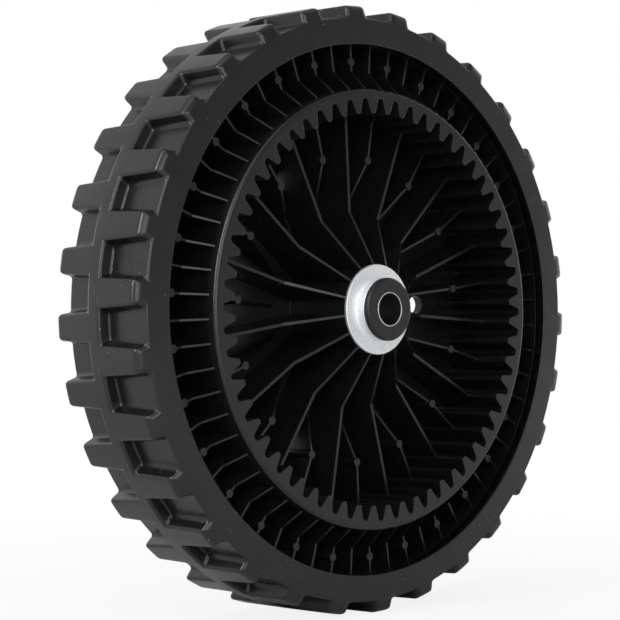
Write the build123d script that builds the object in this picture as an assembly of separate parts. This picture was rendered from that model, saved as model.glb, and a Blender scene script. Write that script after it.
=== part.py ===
from build123d import *
import os
from math import cos, pi, radians, sin, tan

# Drive wheel of a walk-behind garden machine: a block-tread tyre on a moulded core with an internal
# ring gear, turning on two flanged ball bearings over a steel axle sleeve.
# Frame: millimetres, +Z up, origin at the wheel's centre, spin axis along Y, gear side towards -Y.
# Everything is first made about the Z axis, with the gear side up, and is then turned into that frame.
# Heights are measured from the wheel's mid-plane, and positive ones lie towards the gear side.

# Ring gear
gear_module = 2.54
gear_teeth = 60
pressure_angle = 20.0
tooth_backlash = 0.2
root_arc_height = 0.8
tip_arc_height = 0.35
gear_wall = 3.6
gear_edge_round = 1.5
gear_face_height = 28.6

# Rim and web
annulus_width = 17.0
rim_wall = 3.0
rim_gear_side_width = 20.0
rim_back_width = 14.9
web_thickness = 3.7
web_top_height = -3.4
web_corner_round = 2.5

# Ribs of the ring between gear and rim, one behind each tooth
outer_rib_foot_thickness = 1.2
outer_rib_draft = 0.45
outer_rib_height = 17.9
outer_rib_gear_height = 25.3
outer_rib_rise_run = 7.3
outer_boss_diameter = 3.2
outer_boss_inset = 6.0

# Ribs of the dish between hub and gear: main ribs and lower ones alternate
dish_rib_count = 15
main_rib_foot_thickness = 1.7
main_rib_draft = 0.8
main_rib_height = 14.0
main_rib_rise_run = 20.6
low_rib_thickness = 1.0
low_rib_height = 13.0
low_rib_slope = 0.514
dish_boss_diameter = 3.2
dish_boss_inset = 15.4
rib_embed = 0.6

# Drain holes in the web
drain_hole_count = 3
drain_hole_diameter = 7.5
drain_hole_radius = 52.9

# Turn of the core and of the tyre at rest
first_rib_angle = 8.4
first_block_angle = 9.0

# Tyre
tyre_fit = 0.05
tyre_thickness = 7.05
gear_side_wall_width = 24.4
gear_side_shoulder_width = 23.9
gear_side_block_width = 22.7
back_wall_width = 18.9
back_block_width = 21.3
block_height = 4.8
blocks_per_row = 30
middle_band_width = 6.4
pocket_mouth_width = 13.1
pocket_back_width = 10.7
pocket_side_flare = 1.2
pocket_back_flare = 0.4
pocket_corner_round = 1.2

# Bearings, the same on both sides
axle_bore_diameter = 12.0
sleeve_wall = 0.55
sleeve_shoulder = 1.5
sleeve_edge_round = 0.2
press_gap = 0.02
inner_race_wall = 1.15
outer_race_wall = 1.05
ball_diameter = 4.0
ball_count = 10
ball_clearance = 0.12
groove_depth = 1.0
race_width = 8.0
race_edge_round = 0.4
cage_thickness = 1.4
cage_width = 5.8
cage_pocket_clearance = 0.15
cup_wall = 1.2
cup_flange_width = 2.77
cup_flange_thickness = 1.1
cup_floor_thickness = 1.5
cup_nose_diameter = 23.4
cup_nose_height = 3.7
cup_nose_wall = 0.9
cup_nose_round = 0.5
cup_foot_round = 0.6
cup_edge_round = 0.4
cup_skirt = 0.8
collar_diameter = 23.7
collar_gap = 0.35
collar_projection = 2.4
collar_edge_round = 1.2
collar_neck_diameter = 17.6

# Hub
hub_wall = 2.5
hub_half_length = 26.3
hub_edge_round = 0.3
hub_inner_gap = 1.5

# Worked out: the gear
pitch_radius = gear_module * gear_teeth / 2
tip_radius = pitch_radius - gear_module
root_radius = pitch_radius + 1.25 * gear_module
gear_outer_radius = root_radius + gear_wall
tooth_step = 360 / gear_teeth

# Worked out: rim and tyre
rim_inner_radius = gear_outer_radius + annulus_width
rim_outer_radius = rim_inner_radius + rim_wall
tread_base_radius = rim_outer_radius + tyre_fit + tyre_thickness
wheel_radius = tread_base_radius + block_height
web_back_height = web_top_height - web_thickness
rib_foot_height = web_top_height - rib_embed

# Worked out: the bearing, from the bore outwards
bore_radius = axle_bore_diameter / 2
sleeve_radius = bore_radius + sleeve_wall
inner_race_bore = sleeve_radius + press_gap
ball_radius = ball_diameter / 2
groove_radius = ball_radius + ball_clearance
ball_circle_radius = inner_race_bore + inner_race_wall + groove_radius
inner_race_radius = ball_circle_radius - groove_radius + groove_depth
outer_race_bore = ball_circle_radius + groove_radius - groove_depth
outer_race_radius = ball_circle_radius + groove_radius + outer_race_wall
cup_bore = outer_race_radius + press_gap
cup_radius = cup_bore + cup_wall
cup_flange_radius = cup_radius + cup_flange_width
hub_seat_radius = cup_radius + press_gap
hub_radius = hub_seat_radius + hub_wall
hub_bore_radius = sleeve_radius + sleeve_shoulder + hub_inner_gap
collar_radius = collar_diameter / 2
cup_nose_radius = cup_nose_diameter / 2
cup_mouth_radius = cup_nose_radius - cup_nose_wall

# Worked out: heights along the axle, for the gear side and mirrored for the back
cup_flange_top = hub_half_length + cup_flange_thickness
cup_floor_height = hub_half_length - cup_floor_thickness
race_low_height = cup_floor_height - race_width
ball_height = cup_floor_height - race_width / 2
cup_low_height = race_low_height - cup_skirt
cup_nose_top = cup_flange_top + cup_nose_height
sleeve_half_length = cup_nose_top + collar_projection

GEAR_SIDE = Rot(X=90)
BACK_SIDE = Rot(X=-90)


def section(points, rounds=None):
    """A closed face in the XZ plane from (radius, height) points, with a corner radius for some of them."""
    radii = [0] * len(points)
    for index, radius in (rounds or {}).items():
        radii[index] = radius
    return make_face(Plane.XZ * FilletPolyline(*points, radius=radii, close=True))


def turned(points, rounds=None):
    """A solid turned about Z from (radius, height) points."""
    return revolve(section(points, rounds), Axis.Z)


def tube(inner_radius, outer_radius, low, high, edge_round=0):
    """A ring with square or rounded edges."""
    points = [(inner_radius, low), (outer_radius, low), (outer_radius, high), (inner_radius, high)]
    return turned(points, {index: edge_round for index in range(4)})


def polar(radius, side, angle):
    """The point at this radius along a spoke and this far to the spoke's side."""
    turn = radians(angle)
    return (radius * cos(turn) - side * sin(turn), radius * sin(turn) + side * cos(turn))


def spoke_angles(count, first):
    """Equally spaced angles, in degrees."""
    return [first + 360 / count * index for index in range(count)]


def tooth_half_thickness(radius):
    """Half of a tooth's thickness at a radius: an internal tooth widens towards its root."""
    half_at_pitch = (pi * gear_module / 2 - tooth_backlash) / 2
    return half_at_pitch + (radius - pitch_radius) * tan(radians(pressure_angle))


def gear_outline():
    """The toothed inner edge of the ring gear."""
    flank_start = tip_radius + tip_arc_height
    flank_end = root_radius - root_arc_height
    edges = []
    for angle in spoke_angles(gear_teeth, first_rib_angle):
        tip_before = polar(flank_start, -tooth_half_thickness(flank_start), angle)
        tip_middle = polar(tip_radius, 0, angle)
        tip_after = polar(flank_start, tooth_half_thickness(flank_start), angle)
        foot_before = polar(flank_end, -tooth_half_thickness(flank_end), angle)
        foot_after = polar(flank_end, tooth_half_thickness(flank_end), angle)
        next_foot = polar(flank_end, -tooth_half_thickness(flank_end), angle + tooth_step)
        root_middle = polar(root_radius, 0, angle + tooth_step / 2)
        edges.append(Line(foot_before, tip_before))
        edges.append(ThreePointArc(tip_before, tip_middle, tip_after))
        edges.append(Line(tip_after, foot_after))
        edges.append(ThreePointArc(foot_after, root_middle, next_foot))
    return Wire(edges)


def ring_gear():
    """The ring gear, from inside the web up to its face, with a rounded outer edge."""
    outer = Wire.make_circle(gear_outer_radius)
    blank = extrude(Face(outer, [gear_outline()]), gear_face_height - rib_foot_height)
    blank = Pos(Z=rib_foot_height) * blank
    rim_edge = blank.edges().filter_by(GeomType.CIRCLE).filter_by(
        lambda edge: edge.radius > root_radius and edge.center().Z > 0
    )
    return fillet(rim_edge, gear_edge_round)


def around(solid, angles):
    """Copies of a solid turned about the axle."""
    return [Rot(Z=angle) * solid for angle in angles]


def rib(profile, foot_thickness, draft=0):
    """A radial rib along +X from its (radius, height) outline, thinner towards its top by its draft angle."""
    reach = max(radius for radius, height in profile)
    top = max(height for radius, height in profile)
    half_foot = foot_thickness / 2
    half_top = half_foot - (top - rib_foot_height) * tan(radians(draft))
    across = [(-half_foot, rib_foot_height), (half_foot, rib_foot_height), (half_top, top), (-half_top, top)]
    wedge = extrude(make_face(Plane.YZ * Polyline(*across, close=True)), reach)
    return wedge & extrude(section(profile), foot_thickness, both=True)


def post(radius, diameter, top):
    """A round ejector boss that stands on the web, on the +X spoke."""
    height = top - rib_foot_height
    return Pos(radius, 0, rib_foot_height + height / 2) * Cylinder(diameter / 2, height)


def outer_ribs():
    """The ribs behind the teeth, with a boss on every second one."""
    low_end = gear_outer_radius - rib_embed
    high_end = rim_inner_radius + rib_embed
    profile = [
        (low_end, rib_foot_height),
        (high_end, rib_foot_height),
        (high_end, outer_rib_height),
        (gear_outer_radius + outer_rib_rise_run, outer_rib_height),
        (gear_outer_radius, outer_rib_gear_height),
        (low_end, outer_rib_gear_height),
    ]
    boss = post(rim_inner_radius - outer_boss_inset, outer_boss_diameter, outer_rib_height)
    drafted = rib(profile, outer_rib_foot_thickness, outer_rib_draft)
    ribs = around(drafted, spoke_angles(gear_teeth, first_rib_angle))
    return ribs + around(boss, spoke_angles(gear_teeth // 2, first_rib_angle))


def dish_ribs():
    """The main ribs, which rise to the hub, and the low ribs between them, which run out on the web."""
    outer_end = tip_radius + rib_embed
    inner_end = hub_radius - rib_embed
    hub_top = hub_half_length - hub_edge_round
    main_profile = [
        (inner_end, rib_foot_height),
        (outer_end, rib_foot_height),
        (outer_end, main_rib_height),
        (hub_radius + main_rib_rise_run, main_rib_height),
        (hub_radius, hub_top),
        (inner_end, hub_top),
    ]
    boss_radius = tip_radius - dish_boss_inset
    run_out = boss_radius - (low_rib_height - rib_foot_height) / low_rib_slope
    low_profile = [
        (run_out, rib_foot_height),
        (outer_end, rib_foot_height),
        (outer_end, low_rib_height),
        (boss_radius, low_rib_height),
    ]
    low_angles = spoke_angles(dish_rib_count, first_rib_angle)
    main_angles = spoke_angles(dish_rib_count, first_rib_angle + 180 / dish_rib_count)
    mains = around(rib(main_profile, main_rib_foot_thickness, main_rib_draft), main_angles)
    lows = around(rib(low_profile, low_rib_thickness), low_angles)
    return mains + lows + around(post(boss_radius, dish_boss_diameter, low_rib_height), low_angles)


def drain_holes():
    """Round holes through the web, each between a low rib and a main one."""
    middle = web_top_height - web_thickness / 2
    hole = Pos(drain_hole_radius, 0, middle) * Cylinder(drain_hole_diameter / 2, 2 * web_thickness)
    return around(hole, spoke_angles(drain_hole_count, first_rib_angle - 90 / dish_rib_count))


def wheel_core():
    """Hub, web and rim as one turned body, with the gear and the ribs on it."""
    seat_height = cup_low_height
    points = [
        (hub_bore_radius, -seat_height),
        (hub_seat_radius, -seat_height),
        (hub_seat_radius, -hub_half_length),
        (hub_radius, -hub_half_length),
        (hub_radius, web_back_height),
        (rim_inner_radius, web_back_height),
        (rim_inner_radius, -rim_back_width),
        (rim_outer_radius, -rim_back_width),
        (rim_outer_radius, rim_gear_side_width),
        (rim_inner_radius, rim_gear_side_width),
        (rim_inner_radius, web_top_height),
        (hub_radius, web_top_height),
        (hub_radius, hub_half_length),
        (hub_seat_radius, hub_half_length),
        (hub_seat_radius, seat_height),
        (hub_bore_radius, seat_height),
    ]
    rounds = {3: hub_edge_round, 4: web_corner_round, 5: web_corner_round, 12: hub_edge_round}
    body = turned(points, rounds)
    return body + [ring_gear(), *outer_ribs(), *dish_ribs()] - drain_holes()


def tread_pocket():
    """The space between two blocks of the gear-side row: it widens to its mouth and flares outwards."""
    back = middle_band_width / 2
    mouth = gear_side_wall_width

    def outline(reach, flare):
        half_back = pocket_back_width / 2 + pocket_side_flare * flare
        half_mouth = pocket_mouth_width / 2 + pocket_side_flare * flare
        back_edge = back + pocket_back_flare * (1 - flare)
        corners = [(-half_back, back_edge), (half_back, back_edge), (half_mouth, mouth), (-half_mouth, mouth)]
        rounds = [pocket_corner_round, pocket_corner_round, 0, 0]
        face = make_face(FilletPolyline(*corners, radius=rounds, close=True))
        return Plane(origin=(reach, 0, 0), x_dir=(0, 1, 0), z_dir=(1, 0, 0)) * face

    # The two outlines lie a block height below and above the blocks, so that the side walls stay flat.
    low = outline(tread_base_radius - block_height, -1)
    high = outline(wheel_radius + block_height, 2)
    floor = Cylinder(tread_base_radius, 4 * mouth)
    return loft([low, high], ruled=True) - floor


def tyre():
    """The tyre's body, closed over the rim's edges, with two rows of blocks half a pitch apart."""
    bore = rim_outer_radius + tyre_fit
    gear_side_bead = rim_gear_side_width + tyre_fit
    back_bead = rim_back_width + tyre_fit
    blank = turned([
        (rim_inner_radius, gear_side_bead),
        (rim_inner_radius, gear_side_wall_width),
        (tread_base_radius, gear_side_shoulder_width),
        (wheel_radius, gear_side_block_width),
        (wheel_radius, -back_block_width),
        (tread_base_radius, -back_wall_width),
        (rim_inner_radius, -back_wall_width),
        (rim_inner_radius, -back_bead),
        (bore, -back_bead),
        (bore, gear_side_bead),
    ])
    pocket = tread_pocket()
    block_angles = spoke_angles(blocks_per_row, first_block_angle)
    gap_angles = spoke_angles(blocks_per_row, first_block_angle + 180 / blocks_per_row)
    return blank - (around(pocket, gap_angles) + around(mirror(pocket, Plane.XY), block_angles))


def axle_sleeve():
    """The tube over the axle, thicker between the two bearings so that the races seat on its shoulders."""
    points = [
        (bore_radius, -sleeve_half_length),
        (sleeve_radius, -sleeve_half_length),
        (sleeve_radius, -race_low_height),
        (sleeve_radius + sleeve_shoulder, -race_low_height),
        (sleeve_radius + sleeve_shoulder, race_low_height),
        (sleeve_radius, race_low_height),
        (sleeve_radius, sleeve_half_length),
        (bore_radius, sleeve_half_length),
    ]
    return turned(points, {corner: sleeve_edge_round for corner in (0, 1, 6, 7)})


def bearing_cup():
    """The flanged cup: a barrel in the hub, a flange on the hub's face and a nose under the collar."""
    points = [
        (cup_mouth_radius, cup_floor_height),
        (cup_bore, cup_floor_height),
        (cup_bore, cup_low_height),
        (cup_radius, cup_low_height),
        (cup_radius, hub_half_length),
        (cup_flange_radius, hub_half_length),
        (cup_flange_radius, cup_flange_top),
        (cup_nose_radius, cup_flange_top),
        (cup_nose_radius, cup_nose_top),
        (cup_mouth_radius, cup_nose_top),
    ]
    return turned(points, {6: cup_edge_round, 7: cup_foot_round, 8: cup_nose_round})


def ball_groove():
    """The ring-shaped path that the balls run in."""
    return Pos(Z=ball_height) * Torus(ball_circle_radius, groove_radius)


def outer_race():
    ring = tube(outer_race_bore, outer_race_radius, race_low_height, cup_floor_height, race_edge_round)
    return ring - ball_groove()


def inner_race():
    ring = tube(inner_race_bore, inner_race_radius, race_low_height, cup_floor_height, race_edge_round)
    return ring - ball_groove()


def balls():
    """The balls, equally spaced round the ball circle."""
    return around(Pos(ball_circle_radius, 0, ball_height) * Sphere(ball_radius), spoke_angles(ball_count, 0))


def ball_cage():
    """A ring with a round pocket for each ball."""
    low = ball_height - cage_width / 2
    inner = ball_circle_radius - cage_thickness / 2
    ring = tube(inner, inner + cage_thickness, low, low + cage_width)
    pocket = Pos(ball_circle_radius, 0, ball_height) * Rot(Y=90) * Cylinder(
        ball_radius + cage_pocket_clearance, 4 * cage_thickness
    )
    return ring - around(pocket, spoke_angles(ball_count, 0))


def end_collar():
    """The collar: a head over the cup's nose, and a neck that holds the inner race on its shoulder."""
    neck_radius = collar_neck_diameter / 2
    head_low = cup_nose_top + collar_gap
    points = [
        (inner_race_bore, cup_floor_height),
        (neck_radius, cup_floor_height),
        (neck_radius, head_low),
        (collar_radius, head_low),
        (collar_radius, sleeve_half_length),
        (inner_race_bore, sleeve_half_length),
    ]
    return turned(points, {4: collar_edge_round})


def main():
    nodes = {
        "tyre": GEAR_SIDE * tyre(),
        "wheel_core": GEAR_SIDE * wheel_core(),
        "axle_sleeve": GEAR_SIDE * axle_sleeve(),
    }
    bearing = {
        "bearing_cup": bearing_cup(),
        "outer_race": outer_race(),
        "inner_race": inner_race(),
        "ball_cage": ball_cage(),
        "end_collar": end_collar(),
    }
    for side, place in (("front", GEAR_SIDE), ("back", BACK_SIDE)):
        for name, solid in bearing.items():
            nodes[f"{side}_{name}"] = place * solid
        nodes[f"{side}_balls"] = Compound(children=[place * ball for ball in balls()])
    os.makedirs("parts", exist_ok=True)
    for name, solid in nodes.items():
        export_step(solid, f"parts/{name}.step")


main()
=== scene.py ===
from math import asin, cos, degrees, radians, sin, sqrt

import bmesh
import bpy
from mathutils import Matrix, Vector


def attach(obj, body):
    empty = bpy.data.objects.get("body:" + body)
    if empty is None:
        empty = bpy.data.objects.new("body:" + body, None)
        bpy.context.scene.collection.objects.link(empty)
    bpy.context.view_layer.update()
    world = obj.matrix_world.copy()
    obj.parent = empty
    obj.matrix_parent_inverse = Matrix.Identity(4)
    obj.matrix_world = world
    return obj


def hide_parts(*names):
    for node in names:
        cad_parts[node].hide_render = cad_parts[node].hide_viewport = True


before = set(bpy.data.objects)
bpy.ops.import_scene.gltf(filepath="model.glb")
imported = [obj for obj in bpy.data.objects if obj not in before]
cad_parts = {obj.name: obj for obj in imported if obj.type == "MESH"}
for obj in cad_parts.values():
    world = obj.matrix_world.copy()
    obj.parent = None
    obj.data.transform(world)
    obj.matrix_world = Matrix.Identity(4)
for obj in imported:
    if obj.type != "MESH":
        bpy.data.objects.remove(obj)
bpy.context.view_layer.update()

MM = 0.001

# Camera, fitted to the photograph: place in metres, line of sight and lens
CAMERA_PLACE = Vector((-0.583483, -0.596530, -0.006699))
CAMERA_RIGHT = Vector((0.720589, -0.693318, -0.007893))
CAMERA_FORWARD = Vector((0.693363, 0.720542, 0.008202))
CAMERA_LENS = 125.662
CAMERA_SENSOR = 36.0

# Tyre, in millimetres and degrees: the sizes of the part, with the blocks 0.025 mm lower so that the rounded
# tyre stays inside the box of the solids
wheel_radius = 114.85
block_height = 4.775
tread_base_radius = wheel_radius - block_height
rim_inner_radius = 99.975
tyre_bore_radius = 103.025
gear_side_wall = 24.4
gear_side_shoulder = 23.9
gear_side_block = 22.7
gear_side_bead = 20.05
back_wall = 18.9
back_block = 21.3
back_bead = 14.95
blocks_per_row = 30
block_pitch = 360 / blocks_per_row
first_block_angle = 9.0
band_half_width = 3.2
pocket_mouth_width = 13.1
pocket_back_width = 10.7
pocket_side_flare = 1.2
pocket_back_flare = 0.4

# Rounded edges of the tyre, in millimetres
corner_round = 1.2
block_edge_round = 1.1
block_front_round = 2.4
block_side_round = 1.9
floor_round = 0.8
floor_side_round = 1.6
bead_round = 0.5
largest_round = max(corner_round, block_front_round, block_side_round)
edge_segments = 4

# Columns of points in one pitch of a tread row: half a pocket, a block and half a pocket
COLUMNS_PER_PITCH = 8
HALF_PITCH_COLUMNS = COLUMNS_PER_PITCH // 2
ALL_COLUMNS = range(COLUMNS_PER_PITCH)
POCKET_COLUMNS = (0, 1, 6, 7)
BLOCK_COLUMNS = (2, 3, 4, 5)
FIRST_POCKET_SIDE = 2

# Rounds that settle where a leaning pocket wall meets a radius
SETTLING_ROUNDS = 4

# Bore of the axle sleeve and the skin of it that takes the bore's painted shade, in millimetres; the painted
# shade is a darker steel colour inside the bore
BORE_RADIUS = 6.0
BORE_SKIN = 0.1
BORE_PAINTED_SHADE = (0.36, 0.36, 0.35)

# Materials: the middle stretch of noise that is used, where dust gathers, and its tone
NOISE_LOW = 0.3
NOISE_HIGH = 0.7
DUST_PATCH_LEVEL = 0.53
DUST_TONE = (0.22, 0.22, 0.22)

# Studio surround: its level in reflections in front of the wheel and behind it, how much of that is
# lost straight overhead, and the fill for the rest
SURROUND_FRONT = 0.34
SURROUND_BACK = 1.05
OVERHEAD_LOSS = 0.45
FILL = 0.45
WHITE = 1.0

# Floor: its half width and the distances from the wheel over which it fades to plain white, in metres,
# its tone, and its share of white near the wheel, to the camera and in reflections
FLOOR_HALF_WIDTH = 6.0
FLOOR_TONE = 0.65
SEEN_FADE = (0.05, 0.45)
SEEN_SHARE_NEAR = 0.86
MIRRORED_FADE = (0.2, 0.85)
MIRRORED_SHARE_NEAR = 0.0


def at(radius, angle, height):
    """The point at a radius and angle about the axle, and at a height towards the gear side."""
    turn = radians(angle)
    return Vector((radius * cos(turn), -height, radius * sin(turn))) * MM


def pocket_half_angle(radius, height):
    """Half of a pocket's opening at a radius, in degrees: its side walls are flat and lean outwards."""
    share = (abs(height) - band_half_width) / (gear_side_wall - band_half_width)
    half_base = (pocket_back_width + (pocket_mouth_width - pocket_back_width) * share) / 2
    reach = radius
    for _ in range(SETTLING_ROUNDS):
        half = half_base + pocket_side_flare * (reach - tread_base_radius) / block_height
        reach = sqrt(radius * radius - half * half)
    return degrees(asin(half / radius))


def column_offsets(half_pocket):
    """Angles of the columns of one pitch, from the middle of a pocket to the middle of the next."""
    steps = len(BLOCK_COLUMNS)
    block_step = (block_pitch - 2 * half_pocket) / steps
    block = [half_pocket + block_step * index for index in range(steps)]
    return [0, half_pocket / 2, *block, block_pitch - half_pocket, block_pitch - half_pocket / 2]


class TyreMesh:
    """Collects rings of points and the faces between them, with a rounding for some edges."""

    def __init__(self):
        self.mesh = bmesh.new()
        self.weight = self.mesh.edges.layers.float.new("bevel_weight_edge")

    def ring(self, radius, height, start, row_height=None):
        """A closed ring of points whose columns follow the pockets at this radius and height."""
        offsets = column_offsets(pocket_half_angle(radius, height if row_height is None else row_height))
        return [
            self.mesh.verts.new(at(radius, start + block_pitch * turn + offset, height))
            for turn in range(blocks_per_row)
            for offset in offsets
        ]

    def plain_ring(self, like, radius, height):
        """A ring whose columns have the angles of another ring."""
        ring = []
        for vert in like:
            scale = radius * MM / sqrt(vert.co.x ** 2 + vert.co.z ** 2)
            ring.append(self.mesh.verts.new((vert.co.x * scale, -height * MM, vert.co.z * scale)))
        return ring

    def quad(self, *corners):
        self.mesh.faces.new(corners)

    def band(self, low, high, columns=ALL_COLUMNS):
        """Faces between two rings, over some of the columns of each pitch."""
        count = len(low)
        for index in range(count):
            if index % COLUMNS_PER_PITCH in columns:
                after = (index + 1) % count
                self.quad(low[index], low[after], high[after], high[index])

    def round_edge(self, first, second, radius):
        edge = self.mesh.edges.get((first, second))
        edge[self.weight] = radius / largest_round

    def round_ring(self, ring, radius, columns=ALL_COLUMNS):
        count = len(ring)
        for index in range(count):
            if index % COLUMNS_PER_PITCH in columns:
                self.round_edge(ring[index], ring[(index + 1) % count], radius)


def tread_row(tyre, side, start, block_end, shoulder):
    """One row of blocks and pockets; returns its ring at the middle band and its ring on the side wall."""
    back_edge = side * band_half_width
    top = tyre.ring(wheel_radius, back_edge, start)
    front = tyre.ring(wheel_radius, side * block_end, start)
    foot = tyre.ring(tread_base_radius, side * shoulder, start)
    floor = tyre.ring(tread_base_radius, side * (band_half_width + pocket_back_flare), start, back_edge)
    tyre.band(top, front, BLOCK_COLUMNS)
    tyre.band(front, foot, BLOCK_COLUMNS)
    tyre.band(top, floor, POCKET_COLUMNS)
    tyre.band(floor, foot, POCKET_COLUMNS)
    for index in range(FIRST_POCKET_SIDE, len(top), HALF_PITCH_COLUMNS):
        tyre.quad(top[index], front[index], foot[index], floor[index])
        tyre.round_edge(top[index], front[index], block_edge_round)
        tyre.round_edge(front[index], foot[index], block_side_round)
        tyre.round_edge(foot[index], floor[index], floor_side_round)
        tyre.round_edge(floor[index], top[index], corner_round)
    tyre.round_ring(top, block_edge_round, POCKET_COLUMNS)
    tyre.round_ring(front, block_front_round, BLOCK_COLUMNS)
    tyre.round_ring(floor, floor_round, POCKET_COLUMNS)
    tyre.round_ring(foot, floor_round, POCKET_COLUMNS)
    loose = [vert for ring in (front, floor) for vert in ring if not vert.link_faces]
    for vert in loose:
        tyre.mesh.verts.remove(vert)
    return top, foot


def mesh_piece(name, mesh):
    """A smooth-shaded object from a finished bmesh."""
    data = bpy.data.meshes.new(name)
    mesh.to_mesh(data)
    mesh.free()
    data.shade_smooth()
    piece = bpy.data.objects.new(name, data)
    bpy.context.scene.collection.objects.link(piece)
    return piece


def round_marked_edges(piece):
    """Rounds the edges of a piece by the radius that each was given."""
    bevel = piece.modifiers.new("rounded edges", "BEVEL")
    bevel.width = largest_round * MM
    bevel.limit_method = "WEIGHT"
    bevel.segments = edge_segments
    bevel.use_clamp_overlap = True
    piece.modifiers.new("even shading", "WEIGHTED_NORMAL")


def make_tyre():
    """The tyre with real rounded edges on blocks, pockets and beads."""
    tyre = TyreMesh()
    gear_row_angle = first_block_angle + block_pitch / 2
    gear_top, gear_foot = tread_row(tyre, 1, gear_row_angle, gear_side_block, gear_side_shoulder)
    back_top, back_foot = tread_row(tyre, -1, first_block_angle, back_block, back_wall)
    # The back row starts half a pitch earlier, so its columns are turned round to face the gear row's.
    back_top = back_top[HALF_PITCH_COLUMNS:] + back_top[:HALF_PITCH_COLUMNS]
    back_foot = back_foot[HALF_PITCH_COLUMNS:] + back_foot[:HALF_PITCH_COLUMNS]
    tyre.band(back_top, gear_top)
    wall = tyre.plain_ring(gear_foot, rim_inner_radius, gear_side_wall)
    lip = tyre.plain_ring(gear_foot, rim_inner_radius, gear_side_bead)
    seat = tyre.plain_ring(gear_foot, tyre_bore_radius, gear_side_bead)
    back_seat = tyre.plain_ring(back_foot, tyre_bore_radius, -back_bead)
    back_lip = tyre.plain_ring(back_foot, rim_inner_radius, -back_bead)
    back_rim = tyre.plain_ring(back_foot, rim_inner_radius, -back_wall)
    rings = [gear_foot, wall, lip, seat, back_seat, back_lip, back_rim, back_foot]
    for low, high in zip(rings, rings[1:]):
        tyre.band(low, high)
    tyre.round_ring(wall, bead_round)
    tyre.round_ring(back_rim, bead_round)
    bmesh.ops.recalc_face_normals(tyre.mesh, faces=tyre.mesh.faces)
    piece = mesh_piece("tyre_moulding", tyre.mesh)
    round_marked_edges(piece)
    return piece


class Material:
    """A node material with one Principled shader and helpers for its textures."""

    def __init__(self, name, colour, roughness, metallic=0.0, specular=0.5):
        self.data = bpy.data.materials.new(name)
        self.data.use_nodes = True
        self.tree = self.data.node_tree
        self.shader = self.tree.nodes["Principled BSDF"]
        self.shader.inputs["Base Color"].default_value = (*colour, 1)
        self.shader.inputs["Roughness"].default_value = roughness
        self.shader.inputs["Metallic"].default_value = metallic
        self.shader.inputs["Specular IOR Level"].default_value = specular
        self.place = self.node("ShaderNodeTexCoord").outputs["Object"]

    def node(self, kind, **values):
        node = self.tree.nodes.new(kind)
        for name, value in values.items():
            setattr(node, name, value)
        return node

    def link(self, source, target):
        self.tree.links.new(source, target)

    def noise(self, size_mm, detail, stretch=None):
        """Noise whose features are about this size."""
        noise = self.node("ShaderNodeTexNoise")
        noise.inputs["Scale"].default_value = 1 / (size_mm * MM)
        noise.inputs["Detail"].default_value = detail
        place = self.place
        if stretch:
            mapping = self.node("ShaderNodeMapping")
            mapping.inputs["Scale"].default_value = stretch
            self.link(place, mapping.inputs["Vector"])
            place = mapping.outputs["Vector"]
        self.link(place, noise.inputs["Vector"])
        return noise.outputs["Fac"]

    def ramp(self, factor, low, high):
        """A colour between two values, by a factor."""
        ramp = self.node("ShaderNodeValToRGB")
        ramp.color_ramp.elements[0].position = NOISE_LOW
        ramp.color_ramp.elements[0].color = (*low, 1)
        ramp.color_ramp.elements[1].position = NOISE_HIGH
        ramp.color_ramp.elements[1].color = (*high, 1)
        self.link(factor, ramp.inputs["Fac"])
        return ramp.outputs["Color"]

    def mix(self, factor, first, second):
        """A textured colour that gives way to a plain one, by a factor."""
        mix = self.node("ShaderNodeMix", data_type="RGBA")
        self.link(factor, mix.inputs["Factor"])
        self.link(first, mix.inputs["A"])
        mix.inputs["B"].default_value = (*second, 1)
        return mix.outputs["Result"]

    def set_colour(self, colour):
        self.link(colour, self.shader.inputs["Base Color"])

    def set_roughness(self, factor, low, high):
        """Roughness between two values, by a factor."""
        span = map_range(self.tree, factor, (NOISE_LOW, NOISE_HIGH), (low, high))
        self.link(span, self.shader.inputs["Roughness"])

    def bump(self, height, depth_mm, strength, edge_mm=0.0):
        """Fine grain on the surface, over edges that may be softened by a small radius."""
        bump = self.node("ShaderNodeBump")
        if edge_mm:
            soft = self.node("ShaderNodeBevel", samples=6)
            soft.inputs["Radius"].default_value = edge_mm * MM
            self.link(soft.outputs["Normal"], bump.inputs["Normal"])
        bump.inputs["Strength"].default_value = strength
        bump.inputs["Distance"].default_value = depth_mm * MM
        self.link(height, bump.inputs["Height"])
        self.link(bump.outputs["Normal"], self.shader.inputs["Normal"])

    def specks(self, cell_mm, speck_mm, patch_mm):
        """A mask of small round specks that gather in patches."""
        cells = self.node("ShaderNodeTexVoronoi")
        cells.inputs["Scale"].default_value = 1 / (cell_mm * MM)
        self.link(self.place, cells.inputs["Vector"])
        inside = self.node("ShaderNodeMath", operation="LESS_THAN")
        inside.inputs[1].default_value = speck_mm / cell_mm
        self.link(cells.outputs["Distance"], inside.inputs[0])
        patch = self.node("ShaderNodeMath", operation="GREATER_THAN")
        patch.inputs[1].default_value = DUST_PATCH_LEVEL
        self.link(self.noise(patch_mm, detail=2), patch.inputs[0])
        return math_node(self.tree, "MULTIPLY", inside.outputs[0], patch.outputs[0])

    def inside_radius(self, radius_mm):
        """A mask of the points nearer to the axle's axis than this radius."""
        flat = self.node("ShaderNodeMapping")
        flat.inputs["Scale"].default_value = (1, 0, 1)
        self.link(self.place, flat.inputs["Vector"])
        distance = self.node("ShaderNodeVectorMath", operation="LENGTH")
        self.link(flat.outputs["Vector"], distance.inputs[0])
        inside = self.node("ShaderNodeMath", operation="LESS_THAN")
        inside.inputs[1].default_value = radius_mm * MM
        self.link(distance.outputs["Value"], inside.inputs[0])
        return inside.outputs[0]


def math_node(tree, operation, first, second):
    """The result of one math operation on two inputs."""
    node = tree.nodes.new("ShaderNodeMath")
    node.operation = operation
    tree.links.new(first, node.inputs[0])
    tree.links.new(second, node.inputs[1])
    return node.outputs[0]


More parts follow.
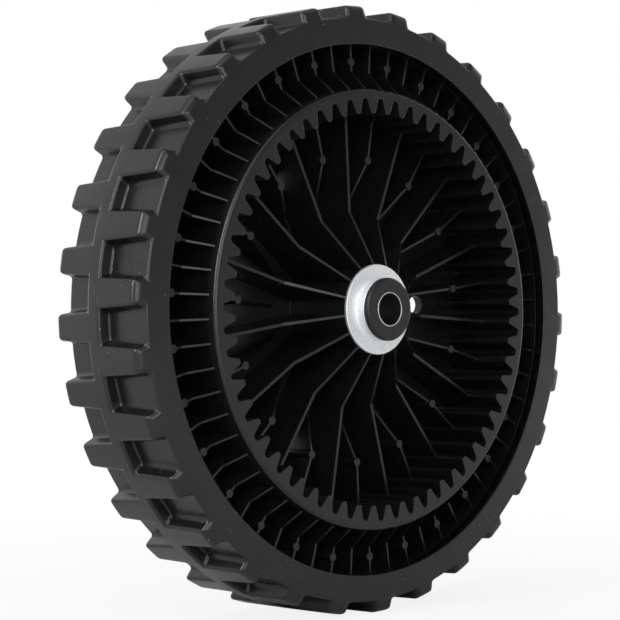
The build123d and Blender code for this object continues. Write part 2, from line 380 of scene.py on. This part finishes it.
def map_range(tree, value, source, target):
    """A value taken from one range to another, and held within it."""
    node = tree.nodes.new("ShaderNodeMapRange")
    node.inputs["From Min"].default_value = source[0]
    node.inputs["From Max"].default_value = source[1]
    node.inputs["To Min"].default_value = target[0]
    node.inputs["To Max"].default_value = target[1]
    tree.links.new(value, node.inputs["Value"])
    return node.outputs["Result"]


def mix_shaders(tree, factor, first, second):
    mix = tree.nodes.new("ShaderNodeMixShader")
    tree.links.new(factor, mix.inputs["Fac"])
    tree.links.new(first.outputs[0], mix.inputs[1])
    tree.links.new(second.outputs[0], mix.inputs[2])
    return mix


def tyre_material():
    """Black moulded tyre: a fine matt grain, faint cloudy sheen and a few pale dust specks."""
    material = Material("tyre", (0.005, 0.005, 0.0052), roughness=0.28, specular=0.45)
    clouds = material.noise(size_mm=14, detail=4)
    black = material.ramp(clouds, low=(0.004, 0.004, 0.0042), high=(0.006, 0.006, 0.0063))
    dust = material.specks(cell_mm=2.4, speck_mm=0.17, patch_mm=25)
    material.set_colour(material.mix(dust, black, DUST_TONE))
    material.set_roughness(material.noise(size_mm=9, detail=5), low=0.25, high=0.32)
    material.bump(material.noise(size_mm=0.5, detail=3), depth_mm=0.03, strength=0.25)
    return material.data


def core_material():
    """Black moulding with a faint flow pattern and slightly softened edges."""
    material = Material("core", (0.006, 0.006, 0.0062), roughness=0.28, specular=0.42)
    flow = material.noise(size_mm=18, detail=4)
    material.set_colour(material.ramp(flow, low=(0.005, 0.005, 0.0052), high=(0.007, 0.007, 0.0073)))
    material.set_roughness(material.noise(size_mm=7, detail=5), low=0.24, high=0.32)
    material.bump(material.noise(size_mm=0.4, detail=3), depth_mm=0.02, strength=0.2, edge_mm=0.3)
    return material.data


def zinc_material():
    """Zinc plating: pale and cool, mottled by its crystals."""
    material = Material("zinc", (0.87, 0.9, 0.91), roughness=0.42, metallic=1.0)
    crystals = material.noise(size_mm=0.8, detail=5)
    material.set_colour(material.ramp(crystals, low=(0.76, 0.79, 0.81), high=(0.91, 0.93, 0.94)))
    material.set_roughness(material.noise(size_mm=1.2, detail=4), low=0.52, high=0.66)
    material.bump(material.noise(size_mm=0.6, detail=4), depth_mm=0.02, strength=0.4)
    return material.data


def steel_material():
    """Turned steel with fine tool marks, and a painted shade (a darker colour) inside the bore."""
    material = Material("steel", (0.66, 0.64, 0.61), roughness=0.28, metallic=1.0)
    marks = material.noise(size_mm=2.0, detail=3, stretch=(1, 12, 1))
    tone = material.ramp(marks, low=(0.56, 0.54, 0.51), high=(0.74, 0.72, 0.69))
    # Painted shade: the steel inside the bore is given a darker colour, standing in for the shade in the
    # hole
    bore = material.inside_radius(BORE_RADIUS + BORE_SKIN)
    material.set_colour(material.mix(bore, tone, BORE_PAINTED_SHADE))
    material.set_roughness(marks, low=0.22, high=0.36)
    material.bump(marks, depth_mm=0.01, strength=0.3)
    return material.data


def collar_material():
    """Black collar: a matt moulding with slight scuffs."""
    material = Material("collar", (0.006, 0.006, 0.0062), roughness=0.36, specular=0.42)
    scuffs = material.noise(size_mm=3, detail=5)
    material.set_colour(material.ramp(scuffs, low=(0.005, 0.005, 0.0052), high=(0.008, 0.008, 0.0083)))
    material.set_roughness(material.noise(size_mm=1.5, detail=4), low=0.3, high=0.42)
    material.bump(material.noise(size_mm=0.4, detail=3), depth_mm=0.02, strength=0.3)
    return material.data


def cage_material():
    """Ball cage: natural nylon."""
    material = Material("cage", (0.3, 0.27, 0.22), roughness=0.45)
    clouds = material.noise(size_mm=1.5, detail=4)
    material.set_colour(material.ramp(clouds, low=(0.27, 0.24, 0.195), high=(0.33, 0.3, 0.245)))
    material.set_roughness(material.noise(size_mm=0.8, detail=3), low=0.38, high=0.52)
    material.bump(material.noise(size_mm=0.3, detail=2), depth_mm=0.01, strength=0.3)
    return material.data


def dress(piece, material):
    piece.data.materials.clear()
    piece.data.materials.append(material)


def dress_nodes():
    """Gives each CAD node the material of its slot."""
    made = {
        "core": core_material(),
        "zinc": zinc_material(),
        "steel": steel_material(),
        "collar": collar_material(),
        "cage": cage_material(),
    }
    endings = {
        "wheel_core": "core",
        "bearing_cup": "zinc",
        "axle_sleeve": "steel",
        "race": "steel",
        "balls": "steel",
        "end_collar": "collar",
        "ball_cage": "cage",
    }
    for name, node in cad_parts.items():
        for ending, slot in endings.items():
            if name.endswith(ending):
                dress(node, made[slot])


def make_camera():
    data = bpy.data.cameras.new("camera")
    data.lens = CAMERA_LENS
    data.sensor_width = CAMERA_SENSOR
    camera = bpy.data.objects.new("camera", data)
    bpy.context.scene.collection.objects.link(camera)
    forward = CAMERA_FORWARD.normalized()
    right = CAMERA_RIGHT.normalized()
    up = right.cross(forward)
    turn = Matrix((right, up, -forward)).transposed().to_4x4()
    camera.matrix_world = Matrix.Translation(CAMERA_PLACE) @ turn
    bpy.context.scene.camera = camera


def studio_place(left, towards, up):
    """A place given from the camera's view: to its left, towards it and up from the wheel's centre."""
    forward = Vector((CAMERA_FORWARD.x, CAMERA_FORWARD.y, 0)).normalized()
    right = Vector((CAMERA_RIGHT.x, CAMERA_RIGHT.y, 0)).normalized()
    return -right * left - forward * towards + Vector((0, 0, up))


def area_light(name, place, width, height, power):
    """A soft box that faces the wheel's centre."""
    data = bpy.data.lights.new(name, "AREA")
    data.shape = "RECTANGLE"
    data.size = width
    data.size_y = height
    data.energy = power
    light = bpy.data.objects.new(name, data)
    bpy.context.scene.collection.objects.link(light)
    light.location = place
    light.rotation_euler = (-place).to_track_quat("-Z", "Y").to_euler()


def make_lights():
    """Soft boxes and strips round the wheel, in metres and watts."""
    left_strip = studio_place(left=0.8, towards=0.75, up=0.55)
    area_light("left strip", left_strip, width=0.14, height=0.9, power=9)
    left_back = studio_place(left=1.2, towards=-0.9, up=0.3)
    area_light("left back box", left_back, width=0.9, height=1.0, power=3.5)
    right_strip = studio_place(left=-1.05, towards=-0.7, up=0.2)
    area_light("right strip", right_strip, width=0.3, height=1.2, power=1.5)
    top = studio_place(left=0.3, towards=0.5, up=1.4)
    area_light("top box", top, width=1.0, height=1.0, power=4)
    front = studio_place(left=-0.19, towards=1.06, up=0.35)
    area_light("front box", front, width=1.05, height=0.9, power=8)


def background(tree, strength):
    node = tree.nodes.new("ShaderNodeBackground")
    node.inputs["Color"].default_value = (1, 1, 1, 1)
    node.inputs["Strength"].default_value = strength
    return node


def surround_level(tree):
    """The surround's level by direction: brighter behind the wheel, dimmer straight overhead."""
    direction = tree.nodes.new("ShaderNodeTexCoord")
    axes = tree.nodes.new("ShaderNodeSeparateXYZ")
    tree.links.new(direction.outputs["Generated"], axes.inputs["Vector"])
    depth = map_range(tree, axes.outputs["Y"], (-1.0, 1.0), (SURROUND_FRONT, SURROUND_BACK))
    loss = map_range(tree, axes.outputs["Z"], (0.0, 1.0), (1.0, 1.0 - OVERHEAD_LOSS))
    return math_node(tree, "MULTIPLY", depth, loss)


def make_world():
    """White to the camera, the surround's level in reflections and a dim fill for the rest."""
    world = bpy.data.worlds.new("studio")
    bpy.context.scene.world = world
    world.use_nodes = True
    tree = world.node_tree
    tree.nodes.clear()
    path = tree.nodes.new("ShaderNodeLightPath")
    mirrored = math_node(tree, "MAXIMUM", path.outputs["Is Glossy Ray"], path.outputs["Is Transmission Ray"])
    surround = background(tree, WHITE)
    tree.links.new(surround_level(tree), surround.inputs["Strength"])
    reflected = mix_shaders(tree, mirrored, background(tree, FILL), surround)
    seen = mix_shaders(tree, path.outputs["Is Camera Ray"], reflected, background(tree, WHITE))
    out = tree.nodes.new("ShaderNodeOutputWorld")
    tree.links.new(seen.outputs[0], out.inputs["Surface"])


def floor_share(tree, ray, distance, fade, share_near):
    """How much of the floor is plain white to one kind of ray: all of it past the fade."""
    share = map_range(tree, distance, fade, (share_near, 1.0))
    return math_node(tree, "MULTIPLY", ray, share)


def floor_material():
    """Pale floor that is white to the camera but still takes a soft shadow near the wheel."""
    data = bpy.data.materials.new("floor")
    data.use_nodes = True
    tree = data.node_tree
    tree.nodes.clear()
    path = tree.nodes.new("ShaderNodeLightPath")
    matt = tree.nodes.new("ShaderNodeBsdfDiffuse")
    matt.inputs["Color"].default_value = (FLOOR_TONE, FLOOR_TONE, FLOOR_TONE, 1)
    glow = tree.nodes.new("ShaderNodeEmission")
    glow.inputs["Strength"].default_value = WHITE
    place = tree.nodes.new("ShaderNodeTexCoord")
    length = tree.nodes.new("ShaderNodeVectorMath")
    length.operation = "LENGTH"
    tree.links.new(place.outputs["Object"], length.inputs[0])
    distance = length.outputs["Value"]
    seen = floor_share(tree, path.outputs["Is Camera Ray"], distance, SEEN_FADE, SEEN_SHARE_NEAR)
    mirrored = floor_share(tree, path.outputs["Is Glossy Ray"], distance, MIRRORED_FADE, MIRRORED_SHARE_NEAR)
    mix = mix_shaders(tree, math_node(tree, "MAXIMUM", seen, mirrored), matt, glow)
    out = tree.nodes.new("ShaderNodeOutputMaterial")
    tree.links.new(mix.outputs[0], out.inputs["Surface"])
    return data


def make_floor():
    mesh = bmesh.new()
    bmesh.ops.create_grid(mesh, x_segments=1, y_segments=1, size=FLOOR_HALF_WIDTH)
    floor = mesh_piece("floor", mesh)
    floor.location.z = -wheel_radius * MM
    dress(floor, floor_material())


bpy.context.scene.view_settings.view_transform = "Standard"
make_camera()
make_world()
make_lights()
make_floor()
dress_nodes()

tyre_piece = make_tyre()
dress(tyre_piece, tyre_material())
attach(tyre_piece, "wheel")
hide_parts("tyre")
